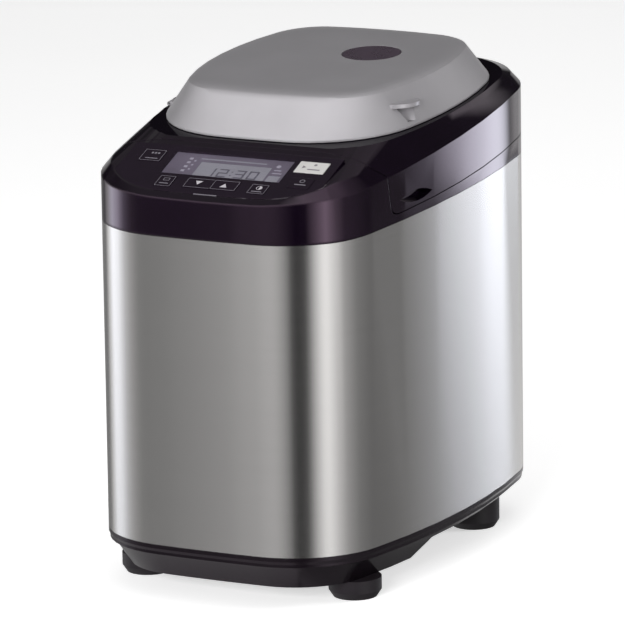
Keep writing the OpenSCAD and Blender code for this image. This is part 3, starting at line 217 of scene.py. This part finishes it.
plum = {"colour": (0.0036, 0.0016, 0.0050), "rough": (0.05, 0.09), "spread": 0.15, "scale": 25,
        "grain": 260, "depth": 0.006, "sockets": {"IOR": 1.57, "Specular Tint": (1.0, 0.70, 0.94, 1)}}
looks = {
    # the collar's rim is rounded by edge ahead of the panel, and by farEdge behind it
    "plumGloss": {**plum, "edge": 0.0022, "farEdge": 0.0002, "rimAhead": (-0.135, -0.125)},
    # the lid's faces that look straight up shine less than its sides: painted shade that darkens its top
    "plumDeck": {**plum, "edge": 0.0002, "sideGloss": 0.5, "shadedTopGloss": 0.03,
                 "shadedTopFacing": (0.95, 0.99)},
    "panelFilm": {"colour": (0.0060, 0.0030, 0.0080), "rough": (0.14, 0.20), "spread": 0.12, "scale": 30,
                  "grain": 700, "depth": 0.012, "edge": 0.0003,
                  "sockets": {"IOR": 1.5, "Specular Tint": (1.0, 0.66, 0.94, 1)}},
    "startGrey": {"colour": (0.66, 0.645, 0.63), "rough": (0.28, 0.36), "spread": 0.03, "edge": 0.0003},
    "basePlum": {"colour": (0.0060, 0.0042, 0.0060), "rough": (0.12, 0.19), "spread": 0.15, "scale": 40,
                 "grain": 1500, "depth": 0.04, "edge": 0.0006,
                 "sockets": {"IOR": 1.52, "Specular Tint": (1.0, 0.84, 0.98, 1)}},
    "ventPlum": {"colour": (0.050, 0.030, 0.050), "rough": (0.24, 0.32), "spread": 0.1, "scale": 80,
                 "edge": 0.0004},
    "silverPaint": {"colour": (0.475, 0.460, 0.482), "rough": (0.33, 0.39), "spread": 0.03, "scale": 30,
                    "grain": 5200, "depth": 0.06, "edge": 0.0007,
                    "sockets": {"Metallic": 0.5}},
    "footRubber": {"colour": (0.013, 0.010, 0.013), "rough": (0.48, 0.62), "spread": 0.2, "grain": 1500,
                   "depth": 0.25, "edge": 0.0006},
    "beltRubber": {"colour": (0.014, 0.014, 0.014), "rough": (0.6, 0.75), "spread": 0.25, "depth": 0.3},
    "sealSilicone": {"colour": (0.70, 0.69, 0.65), "rough": (0.45, 0.55), "spread": 0.05, "depth": 0.1},
    "blackPlastic": {"colour": (0.013, 0.012, 0.013), "rough": (0.4, 0.5), "grain": 2200, "depth": 0.2},
    "brightSteel": {"colour": (0.62, 0.62, 0.63), "rough": (0.18, 0.27), "spread": 0.05,
                    "sockets": {"Metallic": 1.0}},
    "platedSteel": {"colour": (0.50, 0.51, 0.52), "rough": (0.3, 0.42), "spread": 0.1, "scale": 18,
                    "stretch": (1, 1, 7), "sockets": {"Metallic": 1.0}},
    "linerAluminium": {"colour": (0.60, 0.61, 0.62), "rough": (0.3, 0.4), "spread": 0.05, "scale": 14,
                       "stretch": (1, 9, 1), "sockets": {"Metallic": 1.0}},
    "heaterSteel": {"colour": (0.16, 0.145, 0.135), "rough": (0.36, 0.5), "spread": 0.35, "scale": 26,
                    "sockets": {"Metallic": 0.9}},
    "bronze": {"colour": (0.48, 0.33, 0.16), "rough": (0.3, 0.45), "sockets": {"Metallic": 1.0}},
    "nonStick": {"colour": (0.055, 0.055, 0.058), "rough": (0.34, 0.42), "spread": 0.12, "grain": 3200,
                 "depth": 0.12, "sockets": {"Metallic": 0.25}},
    "castAluminium": {"colour": (0.44, 0.45, 0.46), "rough": (0.38, 0.5), "grain": 1400, "depth": 0.3,
                      "sockets": {"Metallic": 1.0}},
    "greyPlastic": {"colour": (0.27, 0.275, 0.28), "rough": (0.38, 0.48), "spread": 0.05, "grain": 2400,
                    "depth": 0.12},
    "coilBrass": {"colour": (0.42, 0.25, 0.10), "rough": (0.32, 0.45), "grain": 60, "depth": 0.5,
                  "stretch": (1, 1, 30), "sockets": {"Metallic": 0.8}},
    "creamPlastic": {"colour": (0.62, 0.58, 0.48), "rough": (0.36, 0.46), "spread": 0.04, "depth": 0.08},
    "motorIron": {"colour": (0.22, 0.225, 0.23), "rough": (0.38, 0.52), "spread": 0.2, "grain": 90,
                  "depth": 0.5, "stretch": (1, 1, 22), "sockets": {"Metallic": 0.8}},
    "boardGreen": {"colour": (0.020, 0.105, 0.040), "rough": (0.28, 0.36), "spread": 0.2, "scale": 220,
                   "depth": 0.1},
    "displayFace": {"colour": (0.215, 0.205, 0.245), "rough": (0.3, 0.36), "spread": 0.04, "scale": 20,
                    "depth": 0.02},
    "lcdFace": {"colour": (0.22, 0.19, 0.26), "rough": (0.3, 0.4), "spread": 0.2, "scale": 22,
                "depth": 0.02},
    "lcdScreen": {"colour": (0.45, 0.445, 0.51), "rough": (0.3, 0.4), "spread": 0.06, "scale": 40,
                  "depth": 0.02},
    "lcdInk": {"colour": (0.16, 0.15, 0.20), "rough": (0.3, 0.4), "scale": 40, "depth": 0.02},
    "lcdBright": {"colour": (0.62, 0.59, 0.70), "rough": (0.3, 0.4), "spread": 0.05, "depth": 0.02},
    "printWhite": {"colour": (0.55, 0.52, 0.56), "rough": (0.4, 0.5), "spread": 0.05, "scale": 300},
    "printGrey": {"colour": (0.20, 0.185, 0.215), "rough": (0.4, 0.5), "scale": 300},
    "printDark": {"colour": (0.20, 0.18, 0.20), "rough": (0.4, 0.5), "scale": 300},
}
finishes = {name: mottled(name, look) for name, look in looks.items()}

steelSet = {
    "colour": (0.675, 0.660, 0.650),
    "rough": (0.20, 0.25),
    "streaks": 6,            # brush marks per metre the way they run
    "lines": 2300,           # brush marks per metre of height
    "lineRough": 0.6,
    "lineTone": 0.02,
    "toneEnds": (0.25, 0.75),
    "lineDepth": 0.025,
    "lineReach": 0.00005,
    "drawn": 0.92,           # how far the brushing draws out what it mirrors
    "drawnTurn": 0.25,       # a quarter turn, so that it is drawn up and down
}


def brushedSteel(settings):
    sockets = {"Metallic": 1.0, "Anisotropic": settings["drawn"],
               "Anisotropic Rotation": settings["drawnTurn"]}
    mat, tree, shader = newFinish("brushedSteel", sockets)
    along = (settings["streaks"], settings["streaks"], settings["lines"])
    lines = noise(tree, 1, stretch=along, rough=settings["lineRough"])
    colours = tones(settings["colour"], settings["lineTone"], *settings["toneEnds"])
    tree.links.new(ramp(tree, colours, lines), shader.inputs["Base Color"])
    tree.links.new(span(tree, lines, *settings["rough"]), shader.inputs["Roughness"])
    addBump(tree, shader, lines, settings["lineDepth"], settings["lineReach"])
    around = addNode(tree, "ShaderNodeTangent", direction_type="RADIAL", axis="Z")
    tree.links.new(around.outputs["Tangent"], shader.inputs["Tangent"])
    return mat


finishes["brushedSteel"] = brushedSteel(steelSet)

windowSet = {
    "sockets": {"IOR": 1.49, "Alpha": 0.15},
    "haze": 40,              # clouds per metre
    "hazeDetail": 2,
    "colours": [(0.3, (0.045, 0.035, 0.05)), (0.7, (0.055, 0.043, 0.06))],
    "rough": (0.05, 0.1),
}


def tintedWindow(settings):
    mat, tree, shader = newFinish("tintedWindow", settings["sockets"])
    haze = noise(tree, settings["haze"], settings["hazeDetail"])
    tree.links.new(ramp(tree, settings["colours"], haze), shader.inputs["Base Color"])
    tree.links.new(span(tree, haze, *settings["rough"]), shader.inputs["Roughness"])
    return mat


finishes["tintedWindow"] = tintedWindow(windowSet)

wears = {
    "plumGloss": ["collar"],
    "plumDeck": ["lid_shell"],
    "basePlum": ["base"],
    "panelFilm": ["control_panel", "menu_key", "size_key", "down_key", "up_key", "timer_key",
                  "stop_key"],
    "startGrey": ["start_key"],
    "tintedWindow": ["display_window"],
    "displayFace": ["display_module"],
    "boardGreen": ["control_board", "power_board"],
    "brushedSteel": ["steel_wrap"],
    "silverPaint": ["dispenser_lid"],
    "ventPlum": ["vent_cap"],
    "footRubber": ["front_left_foot", "front_right_foot", "rear_left_foot", "rear_right_foot"],
    "beltRubber": ["drive_belt"],
    "sealSilicone": ["lid_seal"],
    "blackPlastic": ["cord_inlet"],
    "brightSteel": ["foot_screws", "chamber_screws", "chassis_screws", "hinge_rod", "flap_pins",
                    "dispenser_lid_pins", "motor_shaft", "drive_shaft", "blade_shaft", "pan_handle"],
    "platedSteel": ["baking_chamber", "chassis_plate", "bayonet_seat", "heater_clips",
                    "temperature_sensor"],
    "linerAluminium": ["lid_liner"],
    "heaterSteel": ["heater"],
    "bronze": ["thermal_fuse", "pan_bearing"],
    "nonStick": ["bread_pan", "kneading_blade"],
    "castAluminium": ["pan_base_ring", "pan_coupling", "drive_coupling", "bearing_housing",
                      "motor_pulley"],
    "greyPlastic": ["nut_dispenser", "nut_flap", "yeast_dispenser", "yeast_flap"],
    "coilBrass": ["flap_solenoids"],
    "creamPlastic": ["large_pulley", "motor_capacitor"],
    "motorIron": ["motor"],
}

shadingSet = {
    "join": 0.000004,        # split vertices nearer than this become one
    "round": 24,             # edges sharper than this many degrees stay sharp
    "crisp": 12,
    "crispLooks": ("plumGloss", "plumDeck"),
}


def smoothGroup(limit, join):
    # joins the split vertices and keeps only edges sharper than the limit
    group = bpy.data.node_groups.new("shadingUnder%d" % limit, "GeometryNodeTree")
    group.interface.new_socket("Geometry", in_out="INPUT", socket_type="NodeSocketGeometry")
    group.interface.new_socket("Geometry", in_out="OUTPUT", socket_type="NodeSocketGeometry")
    start = group.nodes.new("NodeGroupInput")
    end = group.nodes.new("NodeGroupOutput")
    merge = addNode(group, "GeometryNodeMergeByDistance", {"Distance": join})
    normals = addNode(group, "GeometryNodeSetMeshNormal", mode="SHARPNESS")
    normals.inputs["Remove Custom"].default_value = True
    angle = group.nodes.new("GeometryNodeInputMeshEdgeAngle")
    sharp = addNode(group, "FunctionNodeCompare", {1: math.radians(limit)}, operation="GREATER_THAN")
    links = group.links
    links.new(start.outputs[0], merge.inputs["Geometry"])
    links.new(merge.outputs["Geometry"], normals.inputs["Mesh"])
    links.new(angle.outputs["Unsigned Angle"], sharp.inputs[0])
    links.new(sharp.outputs["Result"], normals.inputs["Edge Sharpness"])
    links.new(normals.outputs["Mesh"], end.inputs[0])
    return group


def dress(settings):
    roundShading = smoothGroup(settings["round"], settings["join"])
    crispShading = smoothGroup(settings["crisp"], settings["join"])
    for look, names in wears.items():
        for name in names:
            piece = cadNodes[name]
            piece.data.materials.clear()
            piece.data.materials.append(finishes[look])
            shading = piece.modifiers.new("roundShading", "NODES")
            shading.node_group = crispShading if look in settings["crispLooks"] else roundShading


dress(shadingSet)
print("finishes on")


# the display picture and the printed marks, in millimetres on the slope of the panel:
# x across, then up the slope, then out of the panel

slopeSet = {
    "place": (0, -0.187, 0.316),    # metres
    "rise": 0.4,                    # up for each step back
}
slopeTurn = Matrix.Rotation(math.atan(slopeSet["rise"]), 4, "X")
panelPlace = Matrix.Translation(slopeSet["place"]) @ slopeTurn
# which strokes a digit has: a is on top, b to f follow clockwise, g lies across the middle
strokes = {
    "0": "abcdef", "1": "bc", "2": "abdeg", "3": "abcdg", "4": "bcfg", "5": "acdfg", "6": "acdefg",
    "7": "abc", "8": "abcdefg", "9": "abcdfg",
}


def bar(left, right, low, high):
    return [(left, low), (right, low), (right, high), (left, high)]


def outline(left, right, low, high, width, sides="lrtb"):
    found = {
        "l": bar(left, left + width, low, high),
        "r": bar(right - width, right, low, high),
        "t": bar(left, right, high - width, high),
        "b": bar(left, right, low, low + width),
    }
    return [found[side] for side in sides]


def pie(x, y, radius, start=0, end=360, step=15):
    steps = round((end - start) / step)
    turns = [math.radians(start + (end - start) * i / steps) for i in range(steps + 1)]
    rim = [(x + radius * math.cos(a), y + radius * math.sin(a)) for a in turns]
    if end - start == 360:
        return rim[:-1]
    return [(x, y)] + rim


def ringMark(x, y, radius, width, sides=16):
    marks = []
    inner = radius - width
    for i in range(sides):
        a = math.radians(i * 360 / sides)
        b = math.radians((i + 1) * 360 / sides)
        marks.append([(x + radius * math.cos(a), y + radius * math.sin(a)),
                      (x + radius * math.cos(b), y + radius * math.sin(b)),
                      (x + inner * math.cos(b), y + inner * math.sin(b)),
                      (x + inner * math.cos(a), y + inner * math.sin(a))])
    return marks


def ticks(left, right, tall, lows):
    return [bar(left, right, low, low + tall) for low in lows]


def digit(letter, x, y, settings):
    width, height, stroke = settings["digit"]
    half = height / 2
    gap = settings["strokeGap"]
    places = {
        "a": bar(x + gap, x + width - gap, y + height - stroke, y + height),
        "b": bar(x + width - stroke, x + width, y + half + gap, y + height - gap),
        "c": bar(x + width - stroke, x + width, y + gap, y + half - gap),
        "d": bar(x + gap, x + width - gap, y, y + stroke),
        "e": bar(x, x + stroke, y + gap, y + half - gap),
        "f": bar(x, x + stroke, y + half + gap, y + height - gap),
        "g": bar(x + gap, x + width - gap, y + half - stroke / 2, y + half + stroke / 2),
    }
    return [places[part] for part in strokes[letter]]


def timeMarks(settings):
    marks = []
    x, y = settings["timeAt"]
    width, height = settings["digit"][:2]
    for letter in settings["time"]:
        if letter == ":":
            lows = [y + height * share for share in settings["colonShares"]]
            marks += ticks(x, x + settings["colonDot"], settings["colonDot"], lows)
            x += settings["colonStep"]
        else:
            marks += digit(letter, x, y, settings)
            x += width + settings["digitGap"]
    return marks


def printed(name, body, look, shapes, low, thick):
    # flat closed shapes standing on the panel
    points = []
    faces = []
    for shape in shapes:
        first = len(points)
        count = len(shape)
        for height in (low, low + thick):
            points += [panelPlace @ Vector((x * mm, y * mm, height * mm)) for x, y in shape]
        faces.append([first + i for i in reversed(range(count))])
        faces.append([first + count + i for i in range(count)])
        for i in range(count):
            j = (i + 1) % count
            faces.append([first + i, first + j, first + count + j, first + count + i])
    mesh = bpy.data.meshes.new(name)
    mesh.from_pydata(points, [], faces)
    mesh.materials.append(finishes[look])
    piece = bpy.data.objects.new(name, mesh)
    scene.collection.objects.link(piece)
    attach(piece, body)


# the corners of bars and frames are left, right, low and high
displaySet = {
    "face": (-50.6, 50.6, 29.8, 60.7),
    "screens": [(-24.5, 35.5, 30.4, 50.0), (-27, 29, 53.6, 55.2), (37.5, 47.5, 31.2, 39.5)],
    "longTicks": (-36.5, -33.5, 2.6, (35.5, 41.2, 46.9, 52.2)),    # left, right, height, low ends
    "shortTicks": (-31.5, -29.8, 1.8, (38.5, 44.3, 50.0)),
    "dot": (40, 52.6, 1.9),           # x, y and radius
    "dashes": [(38.4, 44.5, 46.6, 47.8), (38.4, 46.5, 42.6, 43.8)],
    "time": "12:30",
    "timeAt": (-16.0, 32.2),
    "digit": (8.2, 11.0, 1.5),        # width, height and stroke
    "digitGap": 2.7,
    "strokeGap": 0.15,
    "colonDot": 1.3,
    "colonStep": 3.9,
    "colonShares": (0.22, 0.66),      # how far up the digits the two dots are
    "faceHeight": -1.53,
    "screenHeight": -1.518,
    "inkHeight": -1.506,
    "layer": 0.01,
    "ink": 0.005,
}


def printDisplay(settings):
    layer = settings["layer"]
    ink = settings["ink"]
    screens = [bar(*corners) for corners in settings["screens"]]
    small = ticks(*settings["longTicks"]) + ticks(*settings["shortTicks"]) + [pie(*settings["dot"])]
    small += [bar(*corners) for corners in settings["dashes"]]
    printed("displayFace", "body", "lcdFace", [bar(*settings["face"])], settings["faceHeight"], layer)
    printed("displayScreen", "body", "lcdScreen", screens, settings["screenHeight"], layer)
    printed("displayDigits", "body", "lcdInk", timeMarks(settings), settings["inkHeight"], ink)
    printed("displayMarks", "body", "lcdBright", small, settings["inkHeight"], ink)


printDisplay(displaySet)

keySet = {
    "line": 0.35,         # width of the thin outlines
    "print": 0.03,        # thickness of a printed mark
    "keyTop": 0.3,        # the keys stand this far out of the panel
    "sunk": 0.005,        # and the marks start this far inside them
    "menuFrame": (-76.0, -58.4, 43.9, 58.6),
    "menuLine": (-71.8, -61.2, 46.6, 47.5),
    "menuStems": (-69.5, -66.8, -64.1),
    "menuStem": (1.7, 53.2, 55.4),          # width, low and high
    "sizeFrame": (-46.8, -33.9, 11.7, 25.2),
    "sizeLoaf": (-42.8, -37.6, 19.0, 22.6),
    "loafLine": 0.5,
    "sizeLine": (-44.2, -36.6, 14.9, 15.8),
    "downFrame": (-22.8, -0.75, 13.2, 25.2),
    "downArrow": [(-15.4, 22.0), (-12.4, 17.0), (-9.4, 22.0)],
    "upFrame": (-0.05, 20.8, 13.2, 25.2),
    "upArrow": [(6.8, 16.4), (12.8, 16.4), (9.8, 21.4)],
    "timerFrame": (31.9, 45.9, 12.2, 24.2),
    "timerLine": (34.6, 43.2, 14.4, 15.3),
    "timerRing": (39.2, 19.8, 2.5, 0.45),   # x, y, radius and width
    "timerHalf": (39.2, 19.8, 2.0, -90, 90),
    "arrowLine": (-9.8, 9.8, 4.3, 5.4),
    "stopRing": (69.2, 33.6, 2.2, 0.6),
    "stopLine": (64.6, 74.0, 28.2, 29.3),
    "startArrow": [(60.4, 54.6), (60.4, 50.6), (63.6, 52.6)],
    "startDot": (70, 56.2, 1.3),
    "startLine": (65.6, 76.0, 49.2, 50.6),
}


def printKeys(settings):
    line = settings["line"]
    top = settings["keyTop"] - settings["sunk"]
    width, low, high = settings["menuStem"]
    menu = outline(*settings["menuFrame"], line) + [bar(*settings["menuLine"])]
    menu += [bar(x, x + width, low, high) for x in settings["menuStems"]]
    size = outline(*settings["sizeFrame"], line) + outline(*settings["sizeLoaf"], settings["loafLine"])
    size += [bar(*settings["sizeLine"])]
    down = outline(*settings["downFrame"], line, "ltb")
    up = outline(*settings["upFrame"], line)
    timer = outline(*settings["timerFrame"], line) + [bar(*settings["timerLine"])]
    clock = ringMark(*settings["timerRing"]) + [pie(*settings["timerHalf"])]
    stop = ringMark(*settings["stopRing"]) + [bar(*settings["stopLine"])]
    start = [settings["startArrow"], pie(*settings["startDot"]), bar(*settings["startLine"])]
    marks = [
        ("menuMark", "menu_key_cap", "printGrey", menu, top),
        ("sizeMark", "size_key_cap", "printGrey", size, top),
        ("downFrame", "down_key_cap", "printGrey", down, top),
        ("downMark", "down_key_cap", "printWhite", [settings["downArrow"]], top),
        ("upFrame", "up_key_cap", "printGrey", up, top),
        ("upMark", "up_key_cap", "printWhite", [settings["upArrow"]], top),
        ("timerFrame", "timer_key_cap", "printGrey", timer, top),
        ("timerMark", "timer_key_cap", "printWhite", clock, top),
        ("arrowBar", "body", "printGrey", [bar(*settings["arrowLine"])], 0),
        ("stopMark", "stop_key_cap", "printGrey", stop, top),
        ("startMark", "start_key_cap", "printDark", start, top),
    ]
    for name, body, look, shapes, height in marks:
        printed(name, body, look, shapes, height, settings["print"])


printKeys(keySet)
print("marks printed")


# stage and light

stageSet = {
    "floor": (0.93, 0.93, 0.93),
    "floorSize": 14,
    "floorSockets": {"Roughness": 0.9, "Specular IOR Level": 0.1},
    "floorClouds": 3,      # per metre
    "floorDetail": 2,
    "floorSpread": 0.01,
    "floorGlow": 0.55,     # lifts the floor to white for the camera alone
    "level": 0.22,         # what matt surfaces see of the room all around
    "lampAim": (0, 0, 0.2),
}

coolTint = (0.96, 1, 1.09)


def bluish(level):
    # the softboxes are a touch cooler than the room
    return tuple(part * level for part in coolTint)


# the room as polished surfaces see it, in zones by the height of the ray, the lowest one
# first: where each one starts and ends taking over from the one below, then its brightness
# by heading in degrees from the front
roomZones = [
    {"stops": [(-180, 0.12), (-150, 0.30), (-110, 0.50), (-80, 0.45), (0, 0.40), (19, 0.36),
               (25, 0.04), (38, 0.04), (44, 0.34), (80, 0.33), (110, 0.20), (142, 0.13), (180, 0.12)]},
    {"from": -0.48, "to": -0.42,
     "stops": [(-180, 0.8), (-133, 0.20), (-97, 0.34), (-73, 0.25), (-50, 0.17), (-31, 0.11),
               (-19, 0.12), (-7, 0.14), (5, 0.11), (17, 0.08), (29, 0.03), (37, 0.05), (41, 0.14),
               (53, 0.28), (65, 0.34), (77, 0.29), (89, 0.22), (113, 0.15), (132, 0.11),
               (139, 0.15), (148, 0.20), (160, 0.12), (167, 0.25), (172, 0.45), (177, 0.8)]},
    {"from": -0.231, "to": -0.225,
     "stops": [(-180, 0.7), (-133, 0.22), (-121, 0.20), (-109, 1.1), (-97, bluish(2.8)),
               (-85, bluish(2.5)), (-73, bluish(0.85)), (-61, 0.30), (-50, 0.17), (-31, 0.14),
               (-25, 0.22), (-22, 0.38), (-7, 0.45), (5, 0.38), (17, 0.18), (29, 0.01), (41, 0.06),
               (53, 1.2), (65, 2.6), (77, 1.0), (89, 0.32), (124, 0.10), (138, 0.15),
               (145, bluish(0.67)), (151, bluish(2.0)), (157, bluish(3.1)), (164, bluish(3.7)),
               (167, bluish(3.6)), (170, bluish(2.2)), (173, 0.3), (176, 0.7)]},
    {"from": -0.17, "to": -0.13,
     "stops": [(-180, 0.25), (-149, 0.6), (-125, 0.25), (-115, 0.05), (-102, 1.5), (-92, 1.7),
               (-81, 1.5), (-73, 1.2), (-65, 0.84), (-57, 0.52), (-50, 0.30), (-40, 0.24),
               (-32, 0.33), (-29, 0.46), (-23, 0.86), (-12, 1.02), (1, 1.15), (8, 0.99), (17, 0.52),
               (23, 0.02), (38, 0.01), (43, 0.12), (50, 0.95), (59, 1.85), (75, 1.5), (88, 0.86),
               (104, 0.42), (134, 0.38), (144, 0.80), (154, 0.90), (162, 0.2)]},
    {"from": 0.12, "to": 0.18,
     "stops": [(-180, 0.03), (-115, 0.02), (-100, 0.3), (-80, 0.6), (-55, 0.75), (-25, 0.65),
               (10, 0.6), (20, 0.5), (25, 0.04), (38, 0.04), (44, 0.3), (70, 0.7), (95, 0.4),
               (112, 0.05), (136, 0.05), (149, 0.7), (164, 0.7), (172, 0.03)]},
    {"from": 0.33, "to": 0.39,
     "stops": [(-180, 0.3), (-150, 0.17), (-137, 0.14), (-113, 0.06), (-100, 0.3), (-80, 0.8),
               (-60, 1.3), (-40, 1.5), (0, 1.3), (51, 0.9), (90, 0.5), (110, 0.35), (124, 0.22),
               (136, 0.05), (165, 0.05), (180, 0.3)]},
    {"from": 0.82, "to": 0.98, "stops": [(-180, 1.1), (180, 1.1)]},
]
# how far the ends of all zones are lifted, by heading
edgeLift = [(-180, 0.008), (-120, 0), (128, 0), (146, 0.0265), (152, 0.0265), (163, 0.019),
            (172, 0.015), (180, 0.008)]


def room(zones, lift, level):
    world = bpy.data.worlds.new("room")
    scene.world = world
    world.use_nodes = True
    world.cycles.sampling_method = "NONE"
    tree = world.node_tree
    tree.nodes.clear()
    links = tree.links
    place = addNode(tree, "ShaderNodeTexCoord")
    parts = addNode(tree, "ShaderNodeSeparateXYZ")
    links.new(place.outputs["Generated"], parts.inputs[0])
    back = maths(tree, "MULTIPLY", parts.outputs["Y"], -1)
    heading = maths(tree, "ARCTAN2", parts.outputs["X"], back)
    turn = span(tree, heading, 0, 1, -math.pi, math.pi)

    def byHeading(stops):
        return ramp(tree, [((a + 180) / 360, v) for a, v in stops], turn)

    height = maths(tree, "SUBTRACT", parts.outputs["Z"], byHeading(lift))
    seen = byHeading(zones[0]["stops"])
    for zone in zones[1:]:
        blend = addNode(tree, "ShaderNodeMix", data_type="RGBA")
        links.new(span(tree, height, 0, 1, zone["from"], zone["to"]), blend.inputs["Factor"])
        # of the sockets called A, B and Result, these are the ones for colours
        links.new(seen, blend.inputs[6])
        links.new(byHeading(zone["stops"]), blend.inputs[7])
        seen = blend.outputs[2]
    ray = addNode(tree, "ShaderNodeLightPath")
    plain = addNode(tree, "ShaderNodeBackground", {"Color": grey(level)})
    white = addNode(tree, "ShaderNodeBackground", {"Color": grey(1.0)})
    mirrored = addNode(tree, "ShaderNodeBackground")
    links.new(seen, mirrored.inputs["Color"])
    indirect = mixShaders(tree, ray.outputs["Is Glossy Ray"], plain.outputs[0], mirrored.outputs[0])
    direct = maths(tree, "MAXIMUM", ray.outputs["Is Camera Ray"], ray.outputs["Is Transmission Ray"])
    output = addNode(tree, "ShaderNodeOutputWorld")
    links.new(mixShaders(tree, direct, indirect, white.outputs[0]), output.inputs["Surface"])


room(roomZones, edgeLift, stageSet["level"])

lamps = {
    "frontBox": {"place": (0.3, -3.1, 0.95), "size": (1.6, 1.0), "power": 92},
    "rearRightBox": {"place": (2.6, 1.5, 1.2), "size": (1.2, 1.2), "power": 36},
    "topBox": {"place": (0.2, -0.2, 2.6), "size": (2.2, 2.2), "power": 12},
}


def addLamps(settings, aim):
    for name, lamp in settings.items():
        data = bpy.data.lights.new(name, "AREA")
        data.shape = "RECTANGLE"
        data.size, data.size_y = lamp["size"]
        data.energy = lamp["power"]
        made = bpy.data.objects.new(name, data)
        scene.collection.objects.link(made)
        made.location = lamp["place"]
        away = Vector(lamp["place"]) - Vector(aim)
        made.rotation_euler = away.to_track_quat("Z", "Y").to_euler()
        made.visible_glossy = False
        made.visible_camera = False


addLamps(lamps, stageSet["lampAim"])


def addFloor(settings):
    half = settings["floorSize"] / 2
    corners = [(-half, -half, 0), (half, -half, 0), (half, half, 0), (-half, half, 0)]
    mesh = bpy.data.meshes.new("floor")
    mesh.from_pydata(corners, [], [(0, 1, 2, 3)])
    floor = bpy.data.objects.new("floor", mesh)
    scene.collection.objects.link(floor)
    mat, tree, shader = newFinish("paleFloor", settings["floorSockets"])
    cloud = noise(tree, settings["floorClouds"], settings["floorDetail"])
    colours = tones(settings["floor"], settings["floorSpread"])
    tree.links.new(ramp(tree, colours, cloud), shader.inputs["Base Color"])
    ray = addNode(tree, "ShaderNodeLightPath")
    glow = maths(tree, "MULTIPLY", ray.outputs["Is Camera Ray"], settings["floorGlow"])
    tree.links.new(glow, shader.inputs["Emission Strength"])
    shader.inputs["Emission Color"].default_value = grey(1.0)
    mesh.materials.append(mat)
    floor.visible_glossy = False


addFloor(stageSet)
scene.view_settings.view_transform = "Standard"
print("stage lit")
